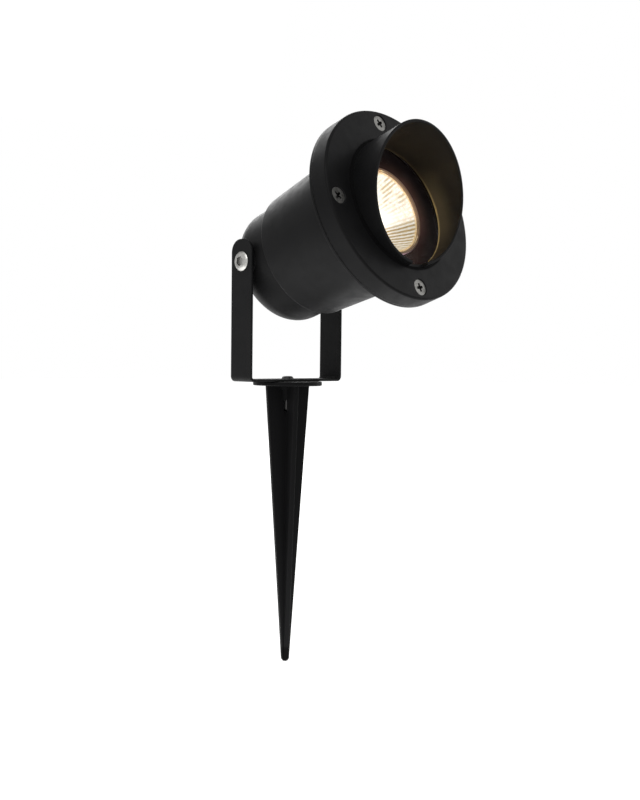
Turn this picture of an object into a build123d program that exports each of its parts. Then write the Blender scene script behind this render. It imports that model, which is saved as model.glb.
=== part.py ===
from build123d import *
from math import atan, cos, radians, sin, tan
import os

# Garden spike spotlight: a cast head with a rain hood, held in a steel yoke on a ground spike.
# Frame: millimetres, +Z up, the lamp shines towards -Y. The origin is the centre of the
# underside of the spike's flange, where it meets the ground.

# ---------------------------------------------------------------------------
# Driving dimensions
# ---------------------------------------------------------------------------

# Pose at rest
rest_tilt = 18.5               # degrees of the optical axis above the horizontal

# Clearances
bore_gap = 0.08                # radial, a shaft that turns in its hole
screw_gap = 0.05               # radial, a screw in its tapped hole
pocket_gap = 0.15              # a piece that drops into a pocket
casting_gap = 0.3              # between two castings that nest
turning_play = 0.05            # face to face, where one body turns on another

# Front bezel with its hood
bezel_radius = 54.0
bezel_depth = 10.7
bezel_wall = 3.0
bezel_plate = 3.7              # front plate, from the face to the glass side
bezel_edge_round = 1.2
hood_bore = 34.3
hood_wall = 1.6
hood_reach = 15.3              # rim above the face, on the optical axis
hood_slope = 18.6              # degrees, the rim rises towards the top
hood_root_round = 1.0
hood_rim_round = 0.4
drain_width = 12.0             # gap in the hood at its lowest point

# Four countersunk screws that hold the bezel
bezel_screw_turns = [28, 45, 8, 60]  # degrees, how each cross recess stands: top, left, bottom, right
bezel_screw_edge = 3.7         # screw axis to the rim of the casting's front ring
bezel_screw_radius = 2.5
bezel_screw_head = 4.4
bezel_screw_head_depth = 2.4
bezel_screw_sink = 0.5         # heads below the bezel's face
bezel_screw_short = 0.7        # ends in front of the bezel's joint

# Front glass and its gasket
glass_thickness = 3.0
gasket_lip = 0.9
gasket_edge = 1.4              # rubber outside the glass's edge
gasket_land = 4.6              # screw axis to the gasket's seat
gasket_seat_width = 4.8
gasket_overlap = 3.0           # how far the lips reach over the glass

# Body casting
shell_wall = 2.8
rear_wall = 3.0
body_taper = 3.9               # loss of radius from the front lip to the step
lip_thickness = 1.7
step_from_pivot = 18.3
step_height = 3.0
step_edge_round = 0.7
shelf_offset = 1.7             # inner shelf in front of the outer step
rear_from_pivot = 12.5
rear_round = 13.2

# Yoke bracket of bent strip
strip_width = 17.0
strip_thickness = 1.5
strip_bend = 1.5               # inner bend radius
strip_edge_round = 0.3
pivot_height = 67.8            # pivot axis above the underside of the strip
leg_above_pivot = 12.6
leg_end_flat = 2.2             # between the two round corners of a leg's end

# Pivot screws and washers
pivot_pad_height = 0.65        # machined pad proud of the round wall
pivot_pad_radius = 8.0
pivot_boss_radius = 6.0
pivot_boss_end = 1.5           # metal behind the end of the tapped hole
pivot_screw_radius = 3.0
pivot_screw_reach = 9.4        # thread in the casting
pivot_hole_room = 0.6          # tapped hole beyond the screw's end
pivot_head_radius = 5.5
pivot_head_height = 1.4
pivot_socket = 5.0             # across the flats of the hexagon socket
pivot_socket_depth = 1.2
pivot_washer_radius = 7.0
pivot_washer_thickness = 1.0

# Ground spike
flange_radius = 20.2
flange_thickness = 2.4
flange_round = 0.6
spike_length = 163.0           # tip below the flange's underside
spike_turn = -20.5             # degrees, how the fins stand turned against the yoke at rest
fin_reach = 13.5               # axis to the fin's edge at the top
fin_thickness = 3.0
fin_round = 0.5
tip_radius = 2.2
spike_collar_wall = 1.4        # round the corners of the nut's pocket
spike_collar_floor = 1.45      # under the nut's pocket
spike_boss_wall = 1.9          # round the bolt
spike_boss_depth = 8.5
bolt_window_gap = 1.0          # opening in the fins round the bolt's end
bolt_window_room = 1.5         # opening below the bolt's end

# Bolt and nut that hold the yoke on the spike
bolt_radius = 2.0
bolt_length = 18.0
bolt_head_radius = 3.5
bolt_head_height = 1.5
bolt_socket = 2.5
bolt_socket_depth = 1.0
nut_across_flats = 7.0
nut_height = 3.2

# Lamp with a twist-lock base
lamp_radius = 25.0
lamp_length = 46.5             # front rim to the base's seat, without the pins
lamp_dish_depth = 28.0
lamp_rim_height = 3.0
lamp_wall = 1.4
lamp_neck_radius = 12.0
lamp_neck_bore = 6.5
lamp_cover_thickness = 1.4
lamp_base_length = 23.0
lamp_base_width = 14.0
lamp_collar_height = 4.0
capsule_radius = 4.2
capsule_length = 17.0
capsule_root = 5.0             # part of the capsule sunk in the base
pin_spacing = 10.0
pin_neck_radius = 1.45
pin_neck_length = 5.0
pin_head_radius = 2.45
pin_head_height = 2.3
lamp_to_glass = 1.6

# Lamp holder on its bracket
holder_edge = 1.1              # from the screw heads to the holder's ends
holder_width = 18.0
holder_thickness = 12.8
holder_seat_gap = 0.3
holder_lock_angle = 25.0       # twist between the entry and the locked place
holder_lock_plate = 2.0
holder_web = 0.9               # between the contacts' pockets and the screw holes
holder_screw_radius = 1.5
holder_screw_head = 2.8
bracket_thickness = 1.2
bracket_width = 18.0
bracket_end_gap = 0.4
bracket_boss_radius = 3.4
bracket_boss_length = 10.0
bracket_screw_radius = 1.5
bracket_screw_length = 6.0
bracket_head_radius = 2.8
bracket_head_height = 2.0
contact_thickness = 1.0
contact_pocket = 3.0           # depth of the pocket in the holder's back
contact_side_margin = 0.9      # outside the lead that is joined to it
contact_end_margin = 0.4       # below that lead
contact_rise = 2.5             # above the optical axis
contact_post_radius = 2.2
contact_gap = 0.1

# Terminal block behind the bracket
pole_count = 3
pole_wall = 0.3                # between a sleeve's bore and the fixing screw's
block_from_axis = 6.0
block_length = 16.0
block_thickness = 12.0
sleeve_wall = 0.9
sleeve_room = 0.4              # radial, round a lead
sleeve_length = 12.0
clamp_screw_radius = 1.3
clamp_screw_spacing = 7.0
clamp_head_radius = 1.5
block_screw_radius = 1.2
block_screw_head = 2.2
block_screw_head_height = 1.5

# Leads inside the head
lead_radius = 1.1
lead_drop = 5.0                # lamp leads leave the holder this far below the axis
lead_bend = 4.0
lead_entry = 3.0               # length of a lead inside the terminal block
earth_bend = 3.5

# Earth terminal on the rear wall
earth_x = -11.0
earth_y = -15.0
earth_boss_radius = 4.0
earth_boss_height = 5.0
earth_ring_radius = 4.0
earth_ring_thickness = 0.8
earth_screw_radius = 1.95
earth_head_radius = 3.4
earth_head_height = 2.4
earth_screw_reach = 4.2
earth_barrel_wall = 0.8
earth_barrel_length = 5.0
earth_barrel_start = 5.0       # from the ring's centre

# Cable gland in the rear wall
gland_thread_radius = 6.2
gland_thread_end = 1.0         # beyond the locknut
gland_shoulder = 0.71          # from the O-ring's groove to the hexagon's flats
gland_hex_height = 4.5
gland_stem_wall = 1.0
gland_stem_length = 7.0
gland_seat_bore = 5.0
gland_core_bore = 4.2
gland_seat_depth = 10.0
seal_bore = 3.75
seal_proud = 1.0
cap_wall = 2.0                 # from the stem to the hexagon's flats
cap_length = 12.0
cap_lead_in = 0.4
cap_mouth = 4.3
cap_nose_taper = 2.0
cap_nose_length = 3.5
o_ring_radius = 0.62
o_ring_inset = 0.3             # from the thread to the O-ring's groove
o_ring_groove = 1.3
locknut_wall = 2.8             # from the thread to the locknut's flats
locknut_height = 4.0

# ---------------------------------------------------------------------------
# Places worked out from the driving dimensions
# ---------------------------------------------------------------------------

# Along the optical axis, from the pivot axis to the front face
shelf_z = step_from_pivot + shelf_offset
bracket_front_z = shelf_z + bracket_thickness
holder_front_z = bracket_front_z + holder_thickness
lamp_seat_z = holder_front_z + holder_seat_gap
lamp_rim_z = lamp_seat_z + lamp_length
glass_back_z = lamp_rim_z + lamp_to_glass
glass_front_z = glass_back_z + glass_thickness
plate_back_z = glass_front_z + gasket_lip
face_z = plate_back_z + bezel_plate
joint_z = face_z - bezel_depth
lip_back_z = joint_z - lip_thickness
bezel_screw_z = face_z - bezel_screw_sink
bezel_screw_end_z = joint_z + bezel_screw_short
gasket_seat_z = glass_back_z - gasket_lip
ring_front_z = plate_back_z - casting_gap

# Radii, from the bezel's rim inwards
ring_radius = bezel_radius - bezel_wall - casting_gap
screw_circle = ring_radius - bezel_screw_edge
gasket_radius = screw_circle - gasket_land
glass_radius = gasket_radius - gasket_edge
body_bore = gasket_radius - gasket_seat_width
body_front_radius = body_bore + shell_wall
body_back_radius = body_front_radius - body_taper
rear_radius = body_back_radius - step_height
rear_bore = rear_radius - shell_wall
shelf_bore = body_back_radius - shell_wall
hood_radius = hood_bore + hood_wall
bezel_sink_slope = (bezel_screw_head - bezel_screw_radius) / bezel_screw_head_depth
bezel_sink_radius = bezel_screw_head + bezel_screw_sink * bezel_sink_slope

# Across the pivot
pad_x = rear_radius + pivot_pad_height
leg_inner_x = pad_x + pivot_washer_thickness + turning_play
leg_outer_x = leg_inner_x + strip_thickness
pivot_head_x = leg_outer_x + turning_play
pivot_screw_length = pivot_head_x - pad_x + pivot_screw_reach
pivot_hole_depth = pivot_screw_reach + pivot_hole_room
pivot_boss_length = pivot_hole_depth + pivot_boss_end

# Rear wall and gland
rear_z = -rear_from_pivot
rear_inner_z = rear_z + rear_wall
locknut_z = rear_inner_z + locknut_height
gland_front_z = locknut_z + gland_thread_end
o_ring_centre = gland_thread_radius + o_ring_inset + o_ring_radius
o_ring_groove_radius = o_ring_centre + o_ring_radius + turning_play
gland_hex = 2 * (o_ring_groove_radius + gland_shoulder)
gland_stem_radius = gland_seat_bore + gland_stem_wall
cap_hex = 2 * (gland_stem_radius + cap_wall)
locknut_hex = 2 * (gland_thread_radius + locknut_wall)
gland_hex_z = rear_z - gland_hex_height
gland_stem_z = gland_hex_z - gland_stem_length
cap_front_z = gland_hex_z - cap_lead_in
cap_back_z = cap_front_z - cap_length
seal_back_z = gland_stem_z - seal_proud
seal_front_z = gland_stem_z + gland_seat_depth

# Terminal block
sleeve_bore = lead_radius + sleeve_room
sleeve_radius = sleeve_bore + sleeve_wall
pole_pitch = 2 * (sleeve_radius + pole_wall + block_screw_radius + 2 * screw_gap)
block_back_z = shelf_z - block_thickness
block_mid_z = shelf_z - block_thickness / 2
block_mid_y = block_from_axis + block_length / 2
block_width = pole_count * pole_pitch
pole_xs = [(i - (pole_count - 1) / 2) * pole_pitch for i in range(pole_count)]
clamp_ys = [block_mid_y - clamp_screw_spacing / 2, block_mid_y + clamp_screw_spacing / 2]
block_screw_x = pole_pitch / 2

# Contacts and holder
contact_outer_x = pole_pitch + lead_radius + contact_side_margin
contact_bottom_y = -lead_drop - lead_radius - contact_end_margin
holder_screw_x = contact_outer_x + pocket_gap + holder_web + holder_screw_radius + screw_gap
holder_length = 2 * (holder_screw_x + holder_screw_head + holder_edge)

# Earth terminal
earth_barrel_radius = lead_radius + earth_barrel_wall
earth_boss_z = rear_inner_z + earth_boss_height
earth_ring_z = earth_boss_z + earth_ring_thickness
earth_barrel_z = earth_boss_z + earth_barrel_radius

# Bracket bosses in the rear part of the body
bracket_boss_x = rear_bore - bracket_boss_radius + shell_wall / 2

# Heights of the yoke and spike
yoke_z = flange_thickness + turning_play
strip_top_z = yoke_z + strip_thickness
pivot_z = yoke_z + pivot_height
bolt_head_z = strip_top_z + turning_play
bolt_end_z = bolt_head_z - bolt_length
nut_z = flange_thickness - nut_height
nut_pocket_z = nut_z - pocket_gap
nut_pocket_flats = nut_across_flats + 2 * pocket_gap
spike_collar_radius = nut_pocket_flats / 2 / cos(radians(30)) + spike_collar_wall

BOTTOM = (Align.CENTER, Align.CENTER, Align.MIN)


# ---------------------------------------------------------------------------
# Shapes used by several pieces
# ---------------------------------------------------------------------------

def rod(radius, z0, z1, x=0.0, y=0.0):
    """Cylinder along Z between two heights."""
    return Pos(x, y, z0) * Cylinder(radius, z1 - z0, align=BOTTOM)


def cone(radius0, radius1, z0, z1, x=0.0, y=0.0):
    """Cone along Z with its radius at each end."""
    return Pos(x, y, z0) * Cone(radius0, radius1, z1 - z0, align=BOTTOM)


def block(x0, x1, y0, y1, z0, z1):
    """Box between two corners."""
    centre = ((x0 + x1) / 2, (y0 + y1) / 2, (z0 + z1) / 2)
    return Pos(*centre) * Box(x1 - x0, y1 - y0, z1 - z0)


def hexagon(across_flats, z0, z1):
    """Hexagonal prism along Z."""
    outline = RegularPolygon(across_flats / 2, 6, major_radius=False)
    return Pos(0, 0, z0) * extrude(outline, z1 - z0)


def round_ended(length, width, z0, z1):
    """Bar along Z with a section that has half-round ends."""
    return Pos(0, 0, z0) * extrude(SlotOverall(length, width), z1 - z0)


def can(radius, z0, z1, edge_round):
    """Cylinder along Z with its lower edge rounded."""
    body = rod(radius, z0, z1)
    return fillet(body.edges().sort_by(Axis.Z)[0], edge_round)


def turned(outline):
    """Solid of revolution about Z, from an outline of (radius, height)."""
    return revolve(Plane.XZ * make_face(outline), Axis.Z)


def group(pieces):
    """Several separate solids that share one node."""
    return Compound([piece.solid() for piece in pieces])


def on_x(shape, x, sign):
    """Turn a piece whose axis is +Z so that it points outwards along X, and put it at x."""
    return Pos(sign * x, 0, 0) * Rot(0, sign * 90, 0) * shape


def countersunk_screw(radius, head_radius, head_depth, length):
    """Flush screw with a cross recess. Its flat head is at Z = 0 and its shank points down."""
    arm = head_radius * 0.54
    slot = head_radius * 0.16
    depth = head_depth * 0.75
    screw = cone(radius, head_radius, -head_depth, 0) + rod(radius, -length, -head_depth)
    screw -= cone(slot, head_radius * 0.28, -depth, 0)
    screw -= block(-arm, arm, -slot, slot, -depth, 0)
    screw -= block(-slot, slot, -arm, arm, -depth, 0)
    return screw


def button_screw(radius, length, head_radius, head_height, socket, socket_depth):
    """Domed screw with a hexagon socket. Its shank starts at Z = 0 and points down."""
    crown = head_radius * 0.55
    edge = head_height * 0.15
    outline = [
        Polyline((0, head_height), (0, 0), (head_radius, 0), (head_radius, edge)),
        TangentArc((crown, head_height), (head_radius, edge), tangent=(1, 0)),
        Line((crown, head_height), (0, head_height)),
    ]
    screw = turned(outline) + rod(radius, -length, 0)
    return screw - hexagon(socket, head_height - socket_depth, head_height)


def pan_screw(radius, length, head_radius, head_height):
    """Small screw with a slotted flat head. Its shank starts at Z = 0 and points down."""
    slot = head_radius * 0.14
    screw = rod(head_radius, 0, head_height) + rod(radius, -length, 0)
    return screw - block(-head_radius, head_radius, -slot, slot, head_height / 2, head_height)


def lead(points, radii):
    """Insulated lead along straight runs joined by tangent arcs."""
    path = FilletPolyline(*points, radius=radii)
    section = Plane(origin=path @ 0, z_dir=path % 0) * Circle(lead_radius)
    return sweep(section, path=path)


# ---------------------------------------------------------------------------
# Head: every piece is drawn with the optical axis along +Z and the pivot axis along X,
# then placed by head_place
# ---------------------------------------------------------------------------

def head_place(shape):
    """Tilt a piece of the head to its rest pose on the pivot axis."""
    return Pos(0, 0, pivot_z) * Rot(90 - rest_tilt, 0, 0) * shape


def bezel_screw_places():
    """Places of the bezel's screws round the optical axis: top, left, bottom and right."""
    count = len(bezel_screw_turns)
    return [Rot(0, 0, 360 / count * i) * Pos(0, screw_circle, 0) for i in range(count)]


def body_housing():
    """Cast bucket: round rear part, tapered middle, lip and front ring, with its bosses."""
    middle = cone(body_back_radius, body_front_radius, step_from_pivot, lip_back_z)
    middle = fillet(middle.edges().sort_by(Axis.Z)[0], step_edge_round)
    outside = can(rear_radius, rear_z, shelf_z, rear_round) + middle
    outside += rod(bezel_radius, lip_back_z, joint_z)
    outside += rod(ring_radius, joint_z, ring_front_z)
    for sign in (-1, 1):
        outside += on_x(rod(pivot_pad_radius, -2 * shell_wall, 0), pad_x, sign)

    inside = can(rear_bore, rear_inner_z, shelf_z, rear_round - shell_wall)
    inside += cone(shelf_bore, body_bore, shelf_z, gasket_seat_z)
    inside += rod(gasket_radius, gasket_seat_z, ring_front_z)
    housing = outside - inside

    for sign in (-1, 1):
        housing += on_x(rod(pivot_boss_radius, -pivot_boss_length, -shell_wall), pad_x, sign)
        boss = rod(bracket_boss_radius, shelf_z - bracket_boss_length, shelf_z, sign * bracket_boss_x)
        housing += boss
    housing += rod(earth_boss_radius, rear_inner_z - rear_wall / 2, earth_boss_z, earth_x, earth_y)

    for sign in (-1, 1):
        thread = rod(pivot_screw_radius + screw_gap, -pivot_hole_depth, 0)
        housing -= on_x(thread, pad_x, sign)
        hole = rod(bracket_screw_radius + screw_gap, shelf_z - bracket_boss_length * 0.8, shelf_z)
        housing -= Pos(sign * bracket_boss_x, 0, 0) * hole
    for place in bezel_screw_places():
        hole_end_z = bezel_screw_end_z - casting_gap
        housing -= place * rod(bezel_screw_radius + screw_gap, hole_end_z, ring_front_z)
    earth_hole_z = earth_boss_z - earth_screw_reach - casting_gap
    housing -= rod(earth_screw_radius + screw_gap, earth_hole_z, earth_boss_z, earth_x, earth_y)
    housing -= rod(gland_thread_radius + screw_gap, rear_z, rear_inner_z)
    return housing


def is_hood_root(edge):
    """True for the circle where the hood's outside meets the bezel's face."""
    return abs(edge.radius - hood_radius) < 0.01 and abs(edge.center().Z - face_z) < 0.01


def front_bezel():
    """Cast cover that nests over the body's front ring and carries the slanted rain hood."""
    hood_top = hood_reach + hood_radius * tan(radians(hood_slope))
    plate = rod(bezel_radius, joint_z, face_z)
    plate = fillet(plate.edges().sort_by(Axis.Z)[-1], bezel_edge_round)
    plate -= rod(ring_radius + casting_gap, joint_z, plate_back_z)

    hood = rod(hood_radius, plate_back_z, face_z + 2 * hood_top)
    above_rim = Box(4 * hood_radius, 4 * hood_radius, 4 * hood_top, align=BOTTOM)
    hood -= Pos(0, 0, face_z + hood_reach) * Rot(hood_slope, 0, 0) * above_rim
    plate += hood
    root = plate.edges().filter_by(GeomType.CIRCLE).filter_by(is_hood_root)
    plate = fillet(root, hood_root_round)
    plate -= rod(hood_bore, joint_z, face_z + 3 * hood_top)

    rim = [edge for edge in plate.edges() if edge.center().Z > face_z + hood_reach * 0.9]
    plate = fillet(rim, hood_rim_round)

    half = drain_width / 2
    plate -= block(-half, half, -2 * hood_radius, 0, face_z, face_z + hood_reach)

    for place in bezel_screw_places():
        sink = cone(bezel_screw_radius, bezel_sink_radius, bezel_screw_z - bezel_screw_head_depth, face_z)
        hole = rod(bezel_screw_radius + screw_gap, plate_back_z, face_z)
        plate -= place * (sink + hole)
    return plate


def bezel_screws():
    """Four flush screws that hold the bezel on the body."""
    length = bezel_screw_z - bezel_screw_end_z
    screw = countersunk_screw(bezel_screw_radius, bezel_screw_head, bezel_screw_head_depth, length)
    screws = []
    for place, turn in zip(bezel_screw_places(), bezel_screw_turns):
        screws.append(place * Pos(0, 0, bezel_screw_z) * Rot(0, 0, turn) * screw)
    return group(screws)


def front_glass():
    """Toughened glass disc behind the hood."""
    return rod(glass_radius, glass_back_z, glass_front_z)


def glass_gasket():
    """Rubber ring of U section that wraps the edge of the glass."""
    ring = rod(gasket_radius, gasket_seat_z, plate_back_z)
    ring -= rod(glass_radius - gasket_overlap, gasket_seat_z, plate_back_z)
    return ring - front_glass()


def lamp_reflector():
    """Glass dish of the lamp, with a straight rim and a recess for its cover."""
    rim_z = lamp_rim_z
    neck_z = rim_z - lamp_dish_depth
    rim_back_z = rim_z - lamp_rim_height
    recess_z = rim_z - lamp_cover_thickness
    inner_rim = lamp_radius - lamp_wall
    inner_neck = lamp_neck_bore
    outer_mid = (lamp_radius * 0.84, rim_z - lamp_dish_depth * 0.54)
    inner_mid = (outer_mid[0] - lamp_wall * 1.1, outer_mid[1])
    outline = [
        Polyline((inner_rim, rim_z), (lamp_radius, rim_z), (lamp_radius, rim_back_z)),
        ThreePointArc((lamp_radius, rim_back_z), outer_mid, (lamp_neck_radius, neck_z)),
        Polyline((lamp_neck_radius, neck_z), (inner_neck, neck_z), (inner_neck, neck_z + lamp_wall)),
        Line((inner_neck, neck_z + lamp_wall), (lamp_neck_radius - lamp_wall, neck_z + lamp_wall)),
        ThreePointArc(
            (lamp_neck_radius - lamp_wall, neck_z + lamp_wall),
            inner_mid,
            (inner_rim - lamp_wall, recess_z),
        ),
        Polyline((inner_rim - lamp_wall, recess_z), (inner_rim, recess_z), (inner_rim, rim_z)),
    ]
    return turned(outline)


def lamp_cover_glass():
    """Thin glass that closes the front of the lamp."""
    return rod(lamp_radius - lamp_wall - screw_gap, lamp_rim_z - lamp_cover_thickness, lamp_rim_z)


def lamp_base():
    """Ceramic base of the lamp, with a socket for the capsule."""
    neck_z = lamp_rim_z - lamp_dish_depth
    collar_z = neck_z - lamp_collar_height
    base = rod(lamp_neck_radius, collar_z, neck_z)
    base += round_ended(lamp_base_length, lamp_base_width, lamp_seat_z, collar_z)
    return base - rod(capsule_radius + screw_gap, neck_z - capsule_root, neck_z)


def lamp_capsule():
    """Quartz capsule that holds the filament."""
    root_z = lamp_rim_z - lamp_dish_depth - capsule_root
    dome_z = root_z + capsule_length - capsule_radius
    return rod(capsule_radius, root_z, dome_z) + Pos(0, 0, dome_z) * Sphere(capsule_radius)


def lamp_pins():
    """Two headed contact pins of the twist-lock base."""
    head_z = lamp_seat_z - pin_neck_length
    pins = []
    for sign in (-1, 1):
        neck = rod(pin_neck_radius, head_z, lamp_seat_z, sign * pin_spacing / 2)
        head = rod(pin_head_radius, head_z - pin_head_height, head_z, sign * pin_spacing / 2)
        pins.append(neck + head)
    return group(pins)


def lock_channel(radius, z0, z1):
    """Curved channel that a pin follows from its entry to its locked place."""
    section = Plane.XZ * Pos(pin_spacing / 2, (z0 + z1) / 2) * Rectangle(2 * radius, z1 - z0)
    entry = Rot(0, 0, holder_lock_angle) * rod(radius, z0, z1, pin_spacing / 2)
    return revolve(section, Axis.Z, holder_lock_angle) + rod(radius, z0, z1, pin_spacing / 2) + entry


def contact_plate(gap):
    """Foot of one contact, or its pocket when the gap is above zero."""
    x0 = pin_spacing / 2 - contact_post_radius - gap
    x1 = contact_outer_x + gap
    top_z = bracket_front_z + contact_pocket
    bottom_z = bracket_front_z if gap else top_z - contact_thickness
    return block(x0, x1, contact_bottom_y - gap, contact_rise + gap, bottom_z, top_z)


def lamp_holder():
    """Ceramic holder with a locking channel for each pin and a pocket for each contact."""
    lock_z = holder_front_z - holder_lock_plate
    pocket_top_z = bracket_front_z + contact_pocket
    head_room = pin_head_radius + casting_gap
    neck_room = pin_neck_radius + casting_gap
    holder = round_ended(holder_length, holder_width, bracket_front_z, holder_front_z)
    entry = rod(head_room, lock_z, holder_front_z, pin_spacing / 2)
    slot = lock_channel(head_room, pocket_top_z, lock_z)
    slot += lock_channel(neck_room, lock_z, holder_front_z)
    slot += Rot(0, 0, holder_lock_angle) * entry
    for turn in (0, 180):
        holder -= Rot(0, 0, turn) * slot
    holder -= contact_plate(pocket_gap)
    holder -= mirror(contact_plate(pocket_gap), about=Plane.YZ)
    for sign in (-1, 1):
        x = sign * holder_screw_x
        holder -= rod(holder_screw_radius + screw_gap, bracket_front_z, holder_front_z, x)
        sink_z = holder_front_z - holder_screw_radius
        holder -= cone(holder_screw_radius, holder_screw_head, sink_z, holder_front_z, x)
    return holder


def holder_contacts():
    """Two brass contacts that touch the lamp's pins inside the holder."""
    pin_end_z = lamp_seat_z - pin_neck_length - pin_head_height
    foot = contact_plate(0.0)
    foot_top_z = bracket_front_z + contact_pocket
    post = rod(contact_post_radius, foot_top_z, pin_end_z - contact_gap, pin_spacing / 2)
    contact = foot + post
    return group([contact, mirror(contact, about=Plane.YZ)])


def holder_screws():
    """Two screws from the holder's front into its bracket."""
    length = holder_thickness + bracket_thickness
    screw = countersunk_screw(holder_screw_radius, holder_screw_head, holder_screw_radius, length)
    return group([Pos(sign * holder_screw_x, 0, holder_front_z) * screw for sign in (-1, 1)])


def holder_bracket():
    """Steel plate across the body's inner shelf, with a tongue for the terminal block."""
    half = bracket_width / 2
    reach = shelf_bore - bracket_end_gap
    tongue_top = block_from_axis + block_length
    plate = block(-reach, reach, -half, half, shelf_z, bracket_front_z)
    plate += block(-block_width / 2, block_width / 2, 0, tongue_top, shelf_z, bracket_front_z)
    plate &= rod(reach, shelf_z, bracket_front_z)
    for sign in (-1, 1):
        for x, radius in (
            (bracket_boss_x, bracket_screw_radius + screw_gap),
            (holder_screw_x, holder_screw_radius + screw_gap),
        ):
            plate -= rod(radius, shelf_z, bracket_front_z, sign * x)
        plate -= rod(lead_radius + casting_gap, shelf_z, bracket_front_z, sign * pole_pitch, -lead_drop)
    block_hole = rod(block_screw_radius + screw_gap, shelf_z, bracket_front_z, block_screw_x, block_mid_y)
    return plate - block_hole


def bracket_screws():
    """Two screws that hold the bracket on the body's bosses."""
    screw = pan_screw(bracket_screw_radius, bracket_screw_length, bracket_head_radius, bracket_head_height)
    return group([Pos(sign * bracket_boss_x, 0, bracket_front_z) * screw for sign in (-1, 1)])


def along_y(shape, x, y, z):
    """Turn a piece whose axis is +Z so that it points along +Y, and put it at a point."""
    return Pos(x, y, z) * Rot(-90, 0, 0) * shape


def terminal_block():
    """Insulating block with a bore for each pole and holes for the clamp screws."""
    y0 = block_from_axis
    y1 = block_from_axis + block_length
    body = block(-block_width / 2, block_width / 2, y0, y1, block_back_z, shelf_z)
    for x in pole_xs:
        body -= along_y(rod(sleeve_radius + screw_gap, 0, block_length), x, y0, block_mid_z)
        for y in clamp_ys:
            body -= rod(clamp_head_radius + screw_gap, block_back_z, block_mid_z, x, y)
    return body - rod(block_screw_radius + screw_gap, block_back_z, shelf_z, block_screw_x, block_mid_y)


def terminal_sleeves():
    """Brass sleeves, one for each pole."""
    y0 = block_mid_y - sleeve_length / 2
    sleeves = []
    for x in pole_xs:
        sleeve = rod(sleeve_radius, 0, sleeve_length) - rod(sleeve_bore, 0, sleeve_length)
        sleeve = along_y(sleeve, x, y0, block_mid_z)
        for y in clamp_ys:
            sleeve -= rod(clamp_screw_radius + screw_gap, block_back_z, block_mid_z, x, y)
        sleeves.append(sleeve)
    return group(sleeves)


def terminal_screws():
    """Clamp screws, two in each sleeve, that press on the leads."""
    tip_z = block_mid_z - lead_radius
    head_z = block_mid_z - sleeve_radius
    screws = []
    for x in pole_xs:
        for y in clamp_ys:
            screw = rod(clamp_screw_radius, head_z, tip_z)
            screw += rod(clamp_head_radius, block_back_z, head_z - screw_gap)
            screw += rod(clamp_screw_radius, head_z - screw_gap, head_z)
            screws.append(Pos(x, y, 0) * screw)
    return group(screws)


def terminal_fixing_screw():
    """Screw that holds the terminal block on the bracket's tongue."""
    screw = pan_screw(
        block_screw_radius, block_thickness + bracket_thickness, block_screw_head, block_screw_head_height
    )
    return Pos(block_screw_x, block_mid_y, block_back_z) * Rot(180, 0, 0) * screw


def lamp_lead(x):
    """Lead from a contact, back through the bracket and up into its pole."""
    contact_z = bracket_front_z + contact_pocket - contact_thickness
    points = [
        (x, -lead_drop, contact_z),
        (x, -lead_drop, block_mid_z),
        (x, block_from_axis + lead_entry, block_mid_z),
    ]
    return lead(points, lead_bend)


def earth_lead():
    """Lead from the middle pole to the ring terminal on the rear wall."""
    barrel_end_y = earth_y + earth_barrel_start + earth_barrel_length
    points = [
        (0, block_from_axis + lead_entry, block_mid_z),
        (0, barrel_end_y + earth_bend, block_mid_z),
        (earth_x, barrel_end_y + earth_bend, earth_barrel_z),
        (earth_x, earth_y + earth_barrel_start + 1, earth_barrel_z),
    ]
    return lead(points, earth_bend)


def earth_ring_terminal():
    """Tinned ring crimped on the earth lead."""
    y0 = earth_y + earth_barrel_start
    ring = rod(earth_ring_radius, earth_boss_z, earth_ring_z, earth_x, earth_y)
    half = earth_barrel_radius * 0.8
    ring += block(earth_x - half, earth_x + half, earth_y, y0 + 1, earth_boss_z, earth_ring_z)
    ring += along_y(rod(earth_barrel_radius, 0, earth_barrel_length), earth_x, y0, earth_barrel_z)
    ring -= along_y(rod(lead_radius + screw_gap, 0, earth_barrel_length), earth_x, y0, earth_barrel_z)
    return ring - rod(earth_screw_radius + screw_gap, earth_boss_z, earth_ring_z, earth_x, earth_y)


def earth_screw():
    """Screw that clamps the ring terminal on its boss."""
    length = earth_ring_thickness + earth_screw_reach
    screw = pan_screw(earth_screw_radius, length, earth_head_radius, earth_head_height)
    return Pos(earth_x, earth_y, earth_ring_z) * screw


def gland_body():
    """Gland with a threaded front stem, a hexagon and a rear stem for its cap."""
    groove_in = o_ring_centre - o_ring_radius - turning_play
    body = hexagon(gland_hex, gland_hex_z, rear_z)
    body += rod(gland_thread_radius, rear_z, gland_front_z)
    body += rod(gland_stem_radius, gland_stem_z, gland_hex_z)
    groove = rod(o_ring_groove_radius, rear_z - o_ring_groove, rear_z)
    groove -= rod(groove_in, rear_z - o_ring_groove, rear_z)
    body -= groove
    body -= rod(gland_seat_bore, gland_stem_z, seal_front_z)
    return body - rod(gland_core_bore, seal_front_z, gland_front_z)


def gland_o_ring():
    """Rubber ring between the gland's hexagon and the body."""
    return Pos(0, 0, rear_z - o_ring_groove / 2) * Torus(o_ring_centre, o_ring_radius)


def gland_seal():
    """Rubber sleeve that the gland squeezes on the cable."""
    radius = gland_seat_bore - screw_gap
    return rod(radius, seal_back_z, seal_front_z) - rod(seal_bore, seal_back_z, seal_front_z)


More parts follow.
